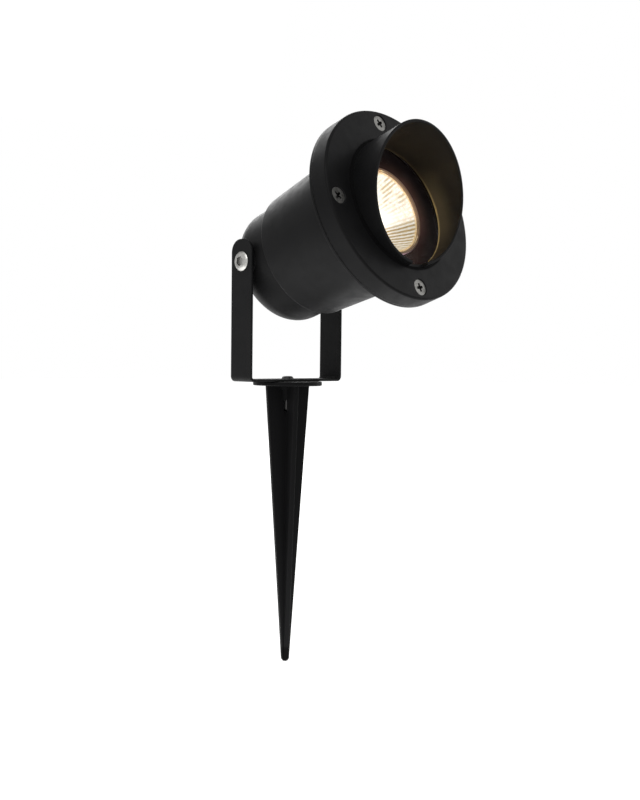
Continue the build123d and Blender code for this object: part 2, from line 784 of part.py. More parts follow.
def gland_cap():
    """Cap nut with a rounded nose that presses the seal."""
    nose_z = cap_back_z + cap_nose_length
    cap = hexagon(cap_hex, nose_z, cap_front_z)
    nose = cone(cap_hex / 2 - cap_nose_taper, cap_hex / 2, cap_back_z, nose_z)
    cap += nose
    cap -= rod(gland_stem_radius + screw_gap, seal_back_z - turning_play, cap_front_z)
    return cap - rod(cap_mouth, cap_back_z, cap_front_z)


def gland_locknut():
    """Thin nut that holds the gland from inside the body."""
    nut = hexagon(locknut_hex, rear_inner_z, locknut_z)
    return nut - rod(gland_thread_radius + screw_gap, rear_inner_z, locknut_z)


def pivot_screws():
    """Two domed screws through the yoke's legs into the body, on the pivot axis."""
    screw = button_screw(
        pivot_screw_radius,
        pivot_screw_length,
        pivot_head_radius,
        pivot_head_height,
        pivot_socket,
        pivot_socket_depth,
    )
    return group([on_x(screw, pivot_head_x, sign) for sign in (-1, 1)])


def pivot_washers():
    """Two nylon washers between the body's pads and the yoke's legs."""
    washer = rod(pivot_washer_radius, 0, pivot_washer_thickness)
    washer -= rod(pivot_screw_radius + screw_gap, 0, pivot_washer_thickness)
    return group([on_x(washer, pad_x, sign) for sign in (-1, 1)])


# ---------------------------------------------------------------------------
# Yoke
# ---------------------------------------------------------------------------

def is_strip_border(edge):
    """True for an edge between a broad face and a narrow one, false for a line across the strip."""
    bend_line = abs((edge % 0).Y) > 0.99 and edge.length > strip_width * 0.9
    across_thickness = edge.length < strip_thickness * 1.1
    return not bend_line and not across_thickness


def yoke_bracket():
    """Steel strip bent to a U, with rounded leg ends, pivot holes and a hole for the bolt."""
    end_round = (strip_width - leg_end_flat) / 2
    height = pivot_z + leg_above_pivot - yoke_z

    outer = Pos(0, yoke_z + height / 2) * Rectangle(2 * leg_outer_x, height)
    outer = fillet(outer.vertices().group_by(Axis.Y)[0], strip_bend + strip_thickness)
    inner = Pos(0, strip_top_z + height / 2) * Rectangle(2 * leg_inner_x, height)
    inner = fillet(inner.vertices().group_by(Axis.Y)[0], strip_bend)
    strip = extrude(Plane.XZ * (outer - inner), strip_width / 2, both=True)

    side = Pos(0, yoke_z + height / 2) * Rectangle(strip_width, height)
    side = fillet(side.vertices().group_by(Axis.Y)[-1], end_round)
    strip &= extrude(Plane.YZ * side, 2 * leg_outer_x, both=True)
    strip = fillet(strip.edges().filter_by(is_strip_border), strip_edge_round)

    pivot_hole = rod(pivot_screw_radius + bore_gap, -strip_thickness, 2 * strip_thickness)
    for sign in (-1, 1):
        strip -= Pos(0, 0, pivot_z) * on_x(pivot_hole, leg_inner_x, sign)
    return strip - rod(bolt_radius + bore_gap, yoke_z, strip_top_z)


# ---------------------------------------------------------------------------
# Ground spike
# ---------------------------------------------------------------------------

def fin_outline():
    """Long taper of one pair of fins, with a rounded tip."""
    tip_centre = tip_radius - spike_length
    slope = (fin_reach - tip_radius) / (spike_length - tip_radius)
    lean = atan(slope)
    side_x = tip_radius * cos(lean)
    side_z = tip_centre - tip_radius * sin(lean)
    return [
        Line((-fin_reach, 0), (fin_reach, 0)),
        Line((fin_reach, 0), (side_x, side_z)),
        ThreePointArc((side_x, side_z), (0, -spike_length), (-side_x, side_z)),
        Line((-side_x, side_z), (-fin_reach, 0)),
    ]


def spike():
    """Moulded stake: flange with a nut pocket, and four tapered fins in a cross."""
    flange = fillet(rod(flange_radius, 0, flange_thickness).edges(), flange_round)
    fin = extrude(Plane.XZ * make_face(fin_outline()), fin_thickness / 2, both=True)
    edges = fin.edges().filter_by(lambda edge: abs(edge.center().Z) > flange_thickness)
    fin = fillet([edge for edge in edges if abs(edge.center().Y) > fin_thickness / 4], fin_round)
    stake = fin + Rot(0, 0, 90) * fin
    stake -= rod(bolt_radius + bolt_window_gap, bolt_end_z - bolt_window_room, 0)
    stake += rod(spike_collar_radius, nut_pocket_z - spike_collar_floor, 0)
    stake += rod(bolt_radius + spike_boss_wall, -spike_boss_depth, 0)
    stake += flange
    stake -= rod(bolt_radius + screw_gap, -spike_boss_depth, flange_thickness)
    return stake - hexagon(nut_pocket_flats, nut_pocket_z, flange_thickness)


def spike_nut():
    """Nut held in the flange's pocket."""
    nut = hexagon(nut_across_flats, nut_z, flange_thickness)
    return nut - rod(bolt_radius + screw_gap, nut_z, flange_thickness)


def spike_bolt():
    """Domed bolt that holds the yoke on the spike and lets it turn."""
    bolt = button_screw(
        bolt_radius, bolt_length, bolt_head_radius, bolt_head_height, bolt_socket, bolt_socket_depth
    )
    return Pos(0, 0, bolt_head_z) * bolt


# ---------------------------------------------------------------------------
# All the nodes
# ---------------------------------------------------------------------------

head_nodes = {
    "body_housing": body_housing(),
    "front_bezel": front_bezel(),
    "bezel_screws": bezel_screws(),
    "front_glass": front_glass(),
    "glass_gasket": glass_gasket(),
    "lamp_reflector": lamp_reflector(),
    "lamp_cover_glass": lamp_cover_glass(),
    "lamp_base": lamp_base(),
    "lamp_capsule": lamp_capsule(),
    "lamp_pins": lamp_pins(),
    "lamp_holder": lamp_holder(),
    "holder_contacts": holder_contacts(),
    "holder_screws": holder_screws(),
    "holder_bracket": holder_bracket(),
    "bracket_screws": bracket_screws(),
    "terminal_block": terminal_block(),
    "terminal_sleeves": terminal_sleeves(),
    "terminal_screws": terminal_screws(),
    "terminal_fixing_screw": terminal_fixing_screw(),
    "live_lead": lamp_lead(-pole_pitch),
    "neutral_lead": lamp_lead(pole_pitch),
    "earth_lead": earth_lead(),
    "earth_ring_terminal": earth_ring_terminal(),
    "earth_screw": earth_screw(),
    "gland_body": gland_body(),
    "gland_o_ring": gland_o_ring(),
    "gland_seal": gland_seal(),
    "gland_cap": gland_cap(),
    "gland_locknut": gland_locknut(),
    "pivot_screws": pivot_screws(),
    "pivot_washers": pivot_washers(),
}

nodes = {name: head_place(shape) for name, shape in head_nodes.items()}
nodes["yoke_bracket"] = yoke_bracket()
for name, shape in {"spike": spike(), "spike_nut": spike_nut(), "spike_bolt": spike_bolt()}.items():
    nodes[name] = Rot(0, 0, spike_turn) * shape

os.makedirs("parts", exist_ok=True)
for name, shape in nodes.items():
    export_step(shape, f"parts/{name}.step")
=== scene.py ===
from math import cos, pi, radians, sin
import random

import bmesh
import bpy
from mathutils import Matrix, Vector

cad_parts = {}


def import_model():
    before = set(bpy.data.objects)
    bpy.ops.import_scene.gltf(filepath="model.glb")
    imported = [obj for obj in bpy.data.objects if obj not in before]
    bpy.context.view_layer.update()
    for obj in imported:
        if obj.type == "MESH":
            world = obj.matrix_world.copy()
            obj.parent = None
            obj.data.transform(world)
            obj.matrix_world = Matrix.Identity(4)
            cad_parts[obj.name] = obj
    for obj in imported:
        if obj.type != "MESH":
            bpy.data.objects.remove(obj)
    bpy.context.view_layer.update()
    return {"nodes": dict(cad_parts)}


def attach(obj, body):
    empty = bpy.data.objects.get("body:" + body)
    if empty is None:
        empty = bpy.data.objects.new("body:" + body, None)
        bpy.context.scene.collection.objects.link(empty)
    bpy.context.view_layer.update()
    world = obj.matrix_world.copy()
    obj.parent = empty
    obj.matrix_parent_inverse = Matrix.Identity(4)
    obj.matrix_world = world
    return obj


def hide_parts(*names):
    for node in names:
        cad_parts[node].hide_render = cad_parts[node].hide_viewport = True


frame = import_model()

nodes = frame["nodes"]

# ---------------------------------------------------------------------------
# Places and sizes of the CAD part that the looks follow, in metres
# ---------------------------------------------------------------------------

MM = 0.001
TILT = radians(18.5)                 # optical axis above the horizontal
PIVOT = Vector((0, 0, 70.25 * MM))   # centre of the tilt axis
HEAD_TURN = (pi / 2 - TILT, 0, 0)    # turns +Z to the optical axis
HEAD = Matrix.Translation(PIVOT) @ Matrix.Rotation(pi / 2 - TILT, 4, "X")
FLOOR_Z = -163.0 * MM                # tip of the spike
BOLT_HEAD_Z = 4.0 * MM               # underside of the bolt's head

# Along the optical axis, from the pivot
SHELF_L = 20.0 * MM                  # inner shelf of the body, where its tapered middle starts
FILAMENT_L = 58.0 * MM
JOINT_L = 79.3 * MM                  # where the bezel meets the body's lip
LAMP_RIM_L = 80.8 * MM
PLATE_BACK_L = 86.3 * MM             # back of the bezel's plate
FACE_L = 90.0 * MM                   # front of the bezel's plate

# From the optical axis
BODY_WALL_RADIUS = 33.9 * MM         # middle of the body's wall, beside the pivot
BODY_SLOPE = 3.9 / 59.3              # gain of that radius along the axis
HOOD_BORE = 34.3 * MM
HOOD_RADIUS = 35.9 * MM
BEZEL_RADIUS = 54.0 * MM
LAMP_RADIUS = 25.0 * MM
DISH_MOUTH = 22.2 * MM               # bright inside of the lamp's dish, at its front
DISH_NECK = 6.5 * MM                 # and at its back
DISH_DEPTH = 28.0 * MM
DISH_SHELF = 1.4 * MM                # seat of the lamp's cover, below the rim
DISH_FLUTES = 52

# From the middle of the pivot's axis
PIVOT_DOME_X = 38.0 * MM             # just under the top of a pivot screw's head
PIVOT_SOCKET_X = 37.0 * MM           # floor of its socket
PIVOT_SOCKET_RADIUS = 3.0 * MM


# ---------------------------------------------------------------------------
# Nodes and looks
# ---------------------------------------------------------------------------

class Nodes:
    """A node tree with a short call for each kind of node that is used here."""

    def __init__(self, tree):
        self.tree = tree

    def link(self, source, target):
        self.tree.links.new(source, target)

    def feed(self, socket, value):
        """Links the socket to another one, or sets its constant."""
        if isinstance(value, bpy.types.NodeSocket):
            self.link(value, socket)
        elif isinstance(value, tuple) and socket.type == "RGBA":
            socket.default_value = (*value, 1.0)
        else:
            socket.default_value = value

    def node(self, kind, inputs=(), **settings):
        node = self.tree.nodes.new(kind)
        for name, value in settings.items():
            setattr(node, name, value)
        for key, value in dict(inputs).items():
            self.feed(node.inputs[key], value)
        return node

    def math(self, operation, a, b=0.0, clamp=False):
        inputs = {0: a, 1: b}
        return self.node("ShaderNodeMath", inputs, operation=operation, use_clamp=clamp).outputs[0]

    def product(self, first, *others):
        for value in others:
            first = self.math("MULTIPLY", first, value)
        return first

    def ranged(self, value, low, high, out_low=0.0, out_high=1.0):
        """Value mapped smoothly from low..high to out_low..out_high."""
        inputs = {
            "Value": value,
            "From Min": low,
            "From Max": high,
            "To Min": out_low,
            "To Max": out_high,
        }
        return self.node("ShaderNodeMapRange", inputs, interpolation_type="SMOOTHSTEP").outputs[0]

    def above(self, value, edge, soft):
        """1 where the value is over the edge and 0 under it, blended over soft on either side."""
        return self.ranged(value, edge - soft, edge + soft)

    def below(self, value, edge, soft):
        return self.ranged(value, edge + soft, edge - soft)

    def mix(self, factor, a, b):
        """Colour between a and b."""
        node = self.node("ShaderNodeMix", data_type="RGBA")
        for socket, value in ((node.inputs[0], factor), (node.inputs[6], a), (node.inputs[7], b)):
            self.feed(socket, value)
        return node.outputs[2]

    def split(self, vector):
        return self.node("ShaderNodeSeparateXYZ", {0: vector}).outputs

    def radius(self, vector):
        """Distance from the Z axis of these coordinates."""
        x, y, _ = self.split(vector)
        squares = self.math("ADD", self.product(x, x), self.product(y, y))
        return self.math("SQRT", squares)

    def white_where_seen(self, strength):
        """1 for camera, glossy and transmission rays, and the given strength for the rest."""
        path = self.node("ShaderNodeLightPath").outputs
        seen = path["Is Camera Ray"]
        for name in ("Is Glossy Ray", "Is Transmission Ray"):
            seen = self.math("MAXIMUM", seen, path[name])
        inputs = {"Value": seen, "To Min": strength, "To Max": 1.0}
        return self.node("ShaderNodeMapRange", inputs).outputs[0]


class Look(Nodes):
    """A material being built round one Principled shader."""

    def __init__(self, name, **values):
        self.material = bpy.data.materials.new(name)
        self.material.use_nodes = True
        super().__init__(self.material.node_tree)
        self.tree.nodes.clear()
        self.output = self.node("ShaderNodeOutputMaterial")
        self.shader = self.node("ShaderNodeBsdfPrincipled")
        self.link(self.shader.outputs["BSDF"], self.output.inputs["Surface"])
        self.coordinates = self.node("ShaderNodeTexCoord").outputs["Object"]
        self.set(**values)

    def set(self, **values):
        """Sets or links the shader's inputs, with _ for each space in their names."""
        for name, value in values.items():
            self.feed(self.shader.inputs[name.replace("_", " ")], value)

    def linked(self, name):
        """The socket that one of the shader's inputs is linked to."""
        return self.shader.inputs[name].links[0].from_socket

    def glow_only(self):
        """The material's emission is seen, and isn't sampled as a light."""
        self.material.cycles.emission_sampling = "NONE"

    def mapped(self, vector, **values):
        inputs = {"Vector": vector, **values}
        return self.node("ShaderNodeMapping", inputs).outputs[0]

    def head_coordinates(self):
        """Coordinates in the head's own axes: X along the pivot, Z along the optical axis."""
        inputs = {"Vector": self.coordinates, "Location": tuple(PIVOT), "Rotation": HEAD_TURN}
        return self.node("ShaderNodeMapping", inputs, vector_type="TEXTURE").outputs[0]

    def noise(self, size, detail=3.0, roughness=0.55, vector=None):
        """Noise whose features are about size metres across."""
        inputs = {
            "Vector": vector or self.coordinates,
            "Scale": 1 / size,
            "Detail": detail,
            "Roughness": roughness,
        }
        return self.node("ShaderNodeTexNoise", inputs).outputs["Fac"]

    def cells(self, size):
        """Distance to the nearest of many scattered points, about size metres apart."""
        inputs = {"Vector": self.coordinates, "Scale": 1 / size}
        return self.node("ShaderNodeTexVoronoi", inputs).outputs["Distance"]

    def bump(self, height, distance, strength=1.0, normal=None):
        inputs = {"Height": height, "Distance": distance, "Strength": strength}
        if normal is not None:
            inputs["Normal"] = normal
        return self.node("ShaderNodeBump", inputs).outputs[0]

    def rounded(self, radius):
        """The surface's normal with its edges rounded, and a mask that is 1 on those edges."""
        soft = self.node("ShaderNodeBevel", {"Radius": radius}, samples=6).outputs[0]
        flat = self.node("ShaderNodeNewGeometry").outputs["Normal"]
        dot = self.node("ShaderNodeVectorMath", {0: soft, 1: flat}, operation="DOT_PRODUCT")
        return soft, self.ranged(dot.outputs["Value"], 0.999, 0.93)

    def overlay(self, mask, colour):
        """Lays a second colour over the look's own where the mask is 1."""
        self.set(Base_Color=self.mix(mask, self.linked("Base Color"), colour))

    def recess(self, depth, low, high, dark_colour):
        """Darkens a metal: its colour turns to the dark colour, and it turns less metallic, as
        depth goes from low to high.
        """
        self.overlay(self.ranged(depth, low, high), dark_colour)
        self.set(Metallic=self.ranged(depth, low, high, 1.0, 0.2))


def scaled(colour, gain):
    return tuple(min(1, gain * c) for c in colour)


# ---------------------------------------------------------------------------
# Kinds of material
# ---------------------------------------------------------------------------

SPECK = (0.012, 0.012, 0.0125)


def powder_coat(name, colour, worn, roughness, specular, grain):
    """Satin powder coat: orange peel, fine grain, specks and rubbed edges."""
    look = Look(name, Specular_IOR_Level=specular)
    soft, edge = look.rounded(0.35 * MM)
    peel = look.noise(1.6 * MM, detail=2.0)
    fine = look.noise(0.28 * MM, detail=2.0)
    broad = look.noise(26 * MM)
    height = look.math("ADD", look.product(peel, 0.65), look.product(fine, 0.35))
    look.set(Normal=look.bump(height, 0.05 * MM, grain, soft))
    rubbed = look.product(edge, look.ranged(look.noise(3.2 * MM, detail=4.0), 0.42, 0.7))
    specks = look.ranged(look.cells(1.1 * MM), 0.16, 0.05, 0.0, 0.55)
    tone = look.mix(look.ranged(broad, 0.3, 0.7), colour, scaled(colour, 1.28))
    tone = look.mix(specks, tone, SPECK)
    look.set(Base_Color=look.mix(look.product(rubbed, 0.5), tone, worn))
    patches = look.noise(7 * MM, detail=4.0)
    rough = look.ranged(patches, 0.25, 0.75, roughness - 0.06, roughness + 0.07)
    look.set(Roughness=look.math("SUBTRACT", rough, look.product(rubbed, 0.12)))
    return look


def moulded(name, colour, roughness, specular, grain=0.35, size=0.5 * MM):
    """Moulded plastic or rubber: fine spark texture, flow tone and slight gloss changes."""
    look = Look(name, Specular_IOR_Level=specular)
    soft, edge = look.rounded(0.25 * MM)
    flow = look.noise(9 * MM, vector=look.mapped(look.coordinates, Scale=(1, 1, 0.25)))
    look.set(Normal=look.bump(look.noise(size), 0.04 * MM, grain, soft))
    tone = look.mix(look.ranged(flow, 0.3, 0.7), colour, scaled(colour, 1.22))
    look.set(Base_Color=look.mix(look.product(edge, 0.3), tone, scaled(colour, 1.9)))
    look.set(Roughness=look.ranged(flow, 0.25, 0.75, roughness - 0.05, roughness + 0.07))
    return look


def metal(name, colour, dark, roughness, size=0.9 * MM):
    """Turned, plated or drawn metal: fine scratches, stains and bright edges."""
    look = Look(name, Metallic=1.0)
    soft, edge = look.rounded(0.15 * MM)
    drawn = look.mapped(look.coordinates, Scale=(1, 4, 1))
    scratch = look.noise(size, detail=5.0, roughness=0.7, vector=drawn)
    stain = look.noise(2.6 * MM, detail=4.0)
    look.set(Normal=look.bump(scratch, 0.02 * MM, 0.5, soft))
    tone = look.mix(look.ranged(stain, 0.35, 0.75), colour, dark)
    look.set(Base_Color=look.mix(look.product(edge, 0.5), tone, colour))
    look.set(Roughness=look.ranged(scratch, 0.2, 0.8, roughness - 0.08, roughness + 0.12))
    return look


def glass(name, tint, smear):
    """Clear pane that lets the lamp's light through, with faint smears.

    Its refractive index is low, so that it hardly mirrors the white studio.
    """
    look = Look(name, Base_Color=tint, IOR=1.1, Transmission_Weight=1.0)
    veil = look.noise(14 * MM, detail=5.0, roughness=0.6)
    look.set(Roughness=look.ranged(veil, 0.45, 0.8, 0.0, smear))
    look.set(Normal=look.bump(look.noise(20 * MM, detail=2.0), 0.02 * MM, 0.2))
    clear = look.node("ShaderNodeBsdfTransparent")
    in_shadow = look.node("ShaderNodeLightPath").outputs["Is Shadow Ray"]
    both = look.node("ShaderNodeMixShader", {
        0: in_shadow, 1: look.shader.outputs[0], 2: clear.outputs[0]})
    look.link(both.outputs[0], look.output.inputs["Surface"])
    return look


def ceramic(name):
    """Steatite: warm white, slightly grainy, with small pits."""
    look = Look(name, Specular_IOR_Level=0.5)
    soft, _ = look.rounded(0.3 * MM)
    grain = look.noise(0.7 * MM, detail=4.0)
    pits = look.ranged(look.cells(1.4 * MM), 0.12, 0.03)
    look.set(Normal=look.bump(grain, 0.05 * MM, 0.4, soft))
    tone = look.mix(look.noise(8 * MM), (0.66, 0.62, 0.54), (0.78, 0.75, 0.69))
    look.set(Base_Color=look.mix(pits, tone, (0.32, 0.27, 0.2)))
    look.set(Roughness=look.ranged(grain, 0.3, 0.7, 0.38, 0.55))
    return look


def lead_sleeve(name, colour, stripe=None):
    """PVC insulation, with a stripe where the lead has two colours."""
    look = Look(name, Specular_IOR_Level=0.4)
    grain = look.noise(0.6 * MM)
    tone = look.mix(look.ranged(look.noise(4 * MM), 0.3, 0.7), colour, scaled(colour, 0.78))
    if stripe:
        x, y, z = look.split(look.coordinates)
        along = look.math("ADD", look.math("ADD", x, y), z)
        wave = look.math("SINE", look.product(along, 700))
        tone = look.mix(look.ranged(wave, 0.1, 0.25), tone, stripe)
    look.set(Base_Color=tone, Normal=look.bump(grain, 0.02 * MM, 0.3))
    look.set(Roughness=look.ranged(grain, 0.3, 0.7, 0.35, 0.5))
    return look


# ---------------------------------------------------------------------------
# The coats of the head and the yoke
# ---------------------------------------------------------------------------

def thin_coat_and_painted_leak(look):
    """The coat is thin inside the body's tapered middle, so the grey casting shows through.

    The dish's coating lets some red and violet light through. Where it falls on that wall, it is
    painted light: a glow set as emission.
    """
    place = look.head_coordinates()
    _, height, along = look.split(place)
    reach = look.math("SUBTRACT", look.radius(place), look.product(along, BODY_SLOPE))
    inside = look.product(
        look.below(reach, BODY_WALL_RADIUS, 0.1 * MM),
        look.above(along, SHELF_L - 1 * MM, 0.1 * MM),
    )
    cloudy = look.noise(2.4 * MM, detail=5.0)
    look.overlay(inside, look.mix(cloudy, (0.009, 0.0085, 0.0085), (0.019, 0.018, 0.018)))
    # Painted light: a red and violet glow on the wall, strongest just behind the lamp's rim
    behind_rim = look.math("POWER", look.ranged(along, 80.5 * MM, 66 * MM), 1.5)
    from_below = look.ranged(height, -16 * MM, 6 * MM, 0.15, 1.0)
    from_above = look.ranged(height, 34 * MM, 20 * MM, 0.15, 1.0)
    broken = look.ranged(look.noise(9 * MM), 0.3, 0.7, 0.6, 1.0)
    leak = look.product(behind_rim, from_below, from_above, broken, inside, 0.13)
    look.set(Emission_Color=look.mix(look.noise(14 * MM), (1.0, 0.4, 0.42), (1.0, 0.6, 0.36)))
    look.set(Emission_Strength=leak)


def bare_lip_painted_highlight(look):
    """Bare edge at the back of the bezel's bore, with the lamp's light on it as a painted
    highlight: golden, and fading towards the top.
    """
    place = look.head_coordinates()
    _, height, along = look.split(place)
    reach = look.radius(place)
    # Painted highlight: golden colour laid on the lip, weaker towards the top
    mask = look.product(
        look.below(reach, HOOD_BORE + 0.8 * MM, 0.1 * MM),
        look.above(reach, HOOD_BORE - 0.4 * MM, 0.1 * MM),
        look.ranged(along, PLATE_BACK_L + 1.5 * MM, PLATE_BACK_L + 0.4 * MM),
        look.ranged(height, 22 * MM, -2 * MM, 0.08, 1.0),
    )
    brushed = look.noise(1.2 * MM, detail=4.0)
    look.overlay(mask, look.mix(brushed, (0.14, 0.11, 0.055), (0.3, 0.25, 0.13)))


def painted_hood_glow(look):
    """Painted light: the lamp's edge throws a yellow glow on the inside of the hood, set as
    emission, strongest beside the lip.
    """
    place = look.head_coordinates()
    _, height, along = look.split(place)
    glow = look.product(
        look.below(look.radius(place), HOOD_BORE + 0.2 * MM, 0.1 * MM),
        look.ranged(height, 27 * MM, 4 * MM),
        look.ranged(height, -30 * MM, -8 * MM, 0.15, 1.0),
        look.ranged(along, PLATE_BACK_L + 14 * MM, PLATE_BACK_L + 1 * MM),
        0.038,
    )
    look.set(Emission_Color=look.mix(look.noise(12 * MM), (1.0, 0.77, 0.32), (1.0, 0.72, 0.42)))
    look.set(Emission_Strength=glow)


def dull_root_painted_shade(look):
    """The corner between the hood and the face is rougher, and its colour is darkened there as
    painted shade.
    """
    place = look.head_coordinates()
    along = look.split(place)[2]
    reach = look.radius(place)
    mask = look.product(
        look.ranged(reach, HOOD_RADIUS + 2.1 * MM, HOOD_RADIUS + 1.0 * MM),
        look.above(reach, HOOD_RADIUS - 0.2 * MM, 0.1 * MM),
        look.ranged(along, FACE_L + 1.6 * MM, FACE_L + 1.0 * MM),
    )
    rough = look.linked("Roughness")
    look.set(Roughness=look.math("ADD", rough, look.product(mask, 0.45), clamp=True))
    # Painted shade: near-black colour in the corner
    look.overlay(mask, (0.0025, 0.0025, 0.0026))


def joint_painted_shade(look):
    """Painted shade: a dark line round the head in the groove where the rounded edges of the bezel
    and the body meet, its reflection taken away by a black metallic.
    """
    place = look.head_coordinates()
    along = look.split(place)[2]
    aside = look.math("ABSOLUTE", look.math("SUBTRACT", along, JOINT_L))
    mask = look.product(
        look.ranged(aside, 0.42 * MM, 0.25 * MM),
        look.above(look.radius(place), BEZEL_RADIUS - 0.8 * MM, 0.2 * MM),
    )
    # Painted shade: near-black, and metallic so that the coat's reflection is gone
    look.overlay(mask, (0.0008, 0.0008, 0.0008))
    look.set(Metallic=mask)


BLACK = (0.0048, 0.0048, 0.005)

head_coat = powder_coat(
    "head_coat", BLACK, worn=(0.04, 0.04, 0.041), roughness=0.45, specular=0.06, grain=0.55)
thin_coat_and_painted_leak(head_coat)
joint_painted_shade(head_coat)
head_coat.glow_only()

bezel_coat = powder_coat(
    "bezel_coat", BLACK, worn=(0.05, 0.05, 0.05), roughness=0.48, specular=0.053, grain=0.55)
bare_lip_painted_highlight(bezel_coat)
painted_hood_glow(bezel_coat)
dull_root_painted_shade(bezel_coat)
joint_painted_shade(bezel_coat)
bezel_coat.glow_only()

yoke_coat = powder_coat(
    "yoke_coat", (0.0056, 0.0056, 0.0058), worn=(0.045, 0.045, 0.045),
    roughness=0.55, specular=0.066, grain=0.45)


# ---------------------------------------------------------------------------
# The spike and the screws that show
# ---------------------------------------------------------------------------

def spike_look():
    """Black moulding that is rubbed a little greyer towards its tip."""
    look = moulded("spike_moulding", (0.003, 0.003, 0.0032), roughness=0.55, specular=0.05)
    height = look.split(look.coordinates)[2]
    rubbed = look.product(look.ranged(height, -60 * MM, -160 * MM), 0.7)
    look.overlay(rubbed, (0.0068, 0.0068, 0.007))
    return look


def bezel_screw_look():
    """Stained steel with painted shade in the cross recess."""
    look = metal("bezel_steel", (0.2, 0.197, 0.188), (0.095, 0.093, 0.086), roughness=0.4)
    depth = look.math("SUBTRACT", FACE_L, look.split(look.head_coordinates())[2])
    # Painted shade: the cross recess turns dark and less metallic below the face
    look.recess(depth, 0.6 * MM, 0.85 * MM, (0.01, 0.0095, 0.009))
    return look


def pivot_screw_look():
    """Brighter steel with painted shade in the socket, full on its walls and weaker on its floor.
    """
    look = metal("pivot_steel", (0.38, 0.375, 0.36), (0.2, 0.196, 0.185), roughness=0.34)
    about_pivot = look.mapped(look.head_coordinates(), Rotation=(0, pi / 2, 0))
    outward = look.math("ABSOLUTE", look.split(look.coordinates)[0])
    socket_shade = look.product(
        look.below(look.radius(about_pivot), PIVOT_SOCKET_RADIUS, 0.1 * MM),
        look.below(outward, PIVOT_DOME_X, 0.1 * MM),
        look.ranged(outward, PIVOT_SOCKET_X, PIVOT_SOCKET_X + 0.15 * MM, 0.3, 1.0),
    )
    # Painted shade: the socket turns dark and less metallic, less so on its floor
    look.recess(socket_shade, 0.0, 1.0, (0.018, 0.017, 0.015))
    return look


def bolt_look():
    """Dark steel, blackened on the head."""
    look = metal("bolt_steel", (0.06, 0.059, 0.057), (0.03, 0.03, 0.029), roughness=0.45)
    on_head = look.ranged(look.split(look.coordinates)[2], BOLT_HEAD_Z - 0.1 * MM, BOLT_HEAD_Z)
    look.recess(on_head, 0.0, 1.0, (0.012, 0.012, 0.012))
    return look


# ---------------------------------------------------------------------------
# The lit lamp
# ---------------------------------------------------------------------------

def dish_look():
    """Lit inside of the dish: white-hot flutes with golden lines between them, in a dim rim."""
    look = Look("dish_lit", Base_Color=(0.03, 0.024, 0.014), Roughness=0.3, Specular_IOR_Level=0.3)
    x, y, _ = look.split(look.coordinates)
    reach = look.radius(look.coordinates)
    turn = look.math("ARCTAN2", y, x)
    upward = look.math("SINE", turn)
    patch = look.noise(4.5 * MM, detail=2.0)
    fine = look.noise(1.3 * MM)

    # A line between each two flutes, strong in the lower part and broken in the upper part
    wavy_turn = look.math("ADD", turn, look.product(patch, 0.05))
    wave = look.math("SINE", look.product(wavy_turn, DISH_FLUTES / 2))
    low = look.ranged(upward, 0.1, -0.35)
    high = look.product(look.ranged(upward, 0.1, 0.6), look.ranged(patch, 0.38, 0.56), 0.6)
    where = look.math("ADD", look.math("MAXIMUM", low, high), 0.12, clamp=True)
    start = look.math("SUBTRACT", 14 * MM, look.product(low, 12 * MM))
    line = look.product(
        look.ranged(look.math("ABSOLUTE", wave), 0.97, 0.4),
        where,
        look.ranged(look.math("SUBTRACT", reach, start), 0, 5 * MM),
    )
    white_hot, golden, amber = (1.0, 0.985, 0.93), (0.4, 0.28, 0.11), (0.75, 0.55, 0.27)
    glow = look.mix(line, white_hot, golden)
    flecks = look.product(
        look.ranged(fine, 0.44, 0.62), look.ranged(reach, 15 * MM, 21.5 * MM, 0, 0.4))
    glow = look.mix(flecks, glow, amber)

    # Bright golden edge of the coating, then the uncoated rim of the glass with its groove
    edge = look.mix(look.ranged(fine, 0.35, 0.65), (0.8, 0.5, 0.2), (1.0, 0.8, 0.46))
    glow = look.mix(look.ranged(reach, 21.9 * MM, 22.5 * MM), glow, edge)
    dim = look.ranged(reach, 23.4 * MM, LAMP_RADIUS)
    rim = look.mix(dim, (0.24, 0.142, 0.085), (0.11, 0.072, 0.055))
    from_groove = look.math("ABSOLUTE", look.math("SUBTRACT", reach, 23.9 * MM))
    groove = look.product(look.ranged(from_groove, 0.4 * MM, 0.1 * MM), 0.6)
    rim = look.mix(groove, rim, (0.07, 0.04, 0.02))
    look.set(Emission_Color=look.mix(look.ranged(reach, 23.0 * MM, 23.5 * MM), glow, rim))
    strength = look.ranged(reach, 8 * MM, 19 * MM, 2.2, 1.15)
    look.set(Emission_Strength=look.product(strength, look.ranged(low, 0, 1, 1.0, 0.6)))
    return look


def dish_back_look():
    """Outside of the dish, through which a little violet light leaks."""
    look = Look("dish_back", Specular_IOR_Level=0.5, Emission_Color=(0.75, 0.44, 0.5))
    swirl = look.noise(6 * MM, detail=4.0)
    look.set(Base_Color=look.mix(swirl, (0.2, 0.14, 0.19), (0.36, 0.27, 0.33)))
    look.set(Roughness=look.ranged(swirl, 0.3, 0.7, 0.12, 0.3))
    look.set(Normal=look.bump(swirl, 0.1 * MM, 0.2))
    look.set(Emission_Strength=look.ranged(swirl, 0.2, 0.8, 0.2, 0.45))
    return look


def capsule_look():
    """Glowing quartz, brightest about the filament in its middle."""
    look = Look("capsule_lit", Base_Color=(0.9, 0.86, 0.78), Roughness=0.08)
    look.set(Emission_Color=(1.0, 0.66, 0.27))
    along = look.split(look.head_coordinates())[2]
    from_middle = look.math("ABSOLUTE", look.math("SUBTRACT", along, FILAMENT_L))
    look.set(Emission_Strength=look.ranged(from_middle, 2 * MM, 7 * MM, 55.0, 18.0))
    look.set(Normal=look.bump(look.noise(2 * MM), 0.05 * MM, 0.2))
    return look


# ---------------------------------------------------------------------------
# One look for each CAD node
# ---------------------------------------------------------------------------

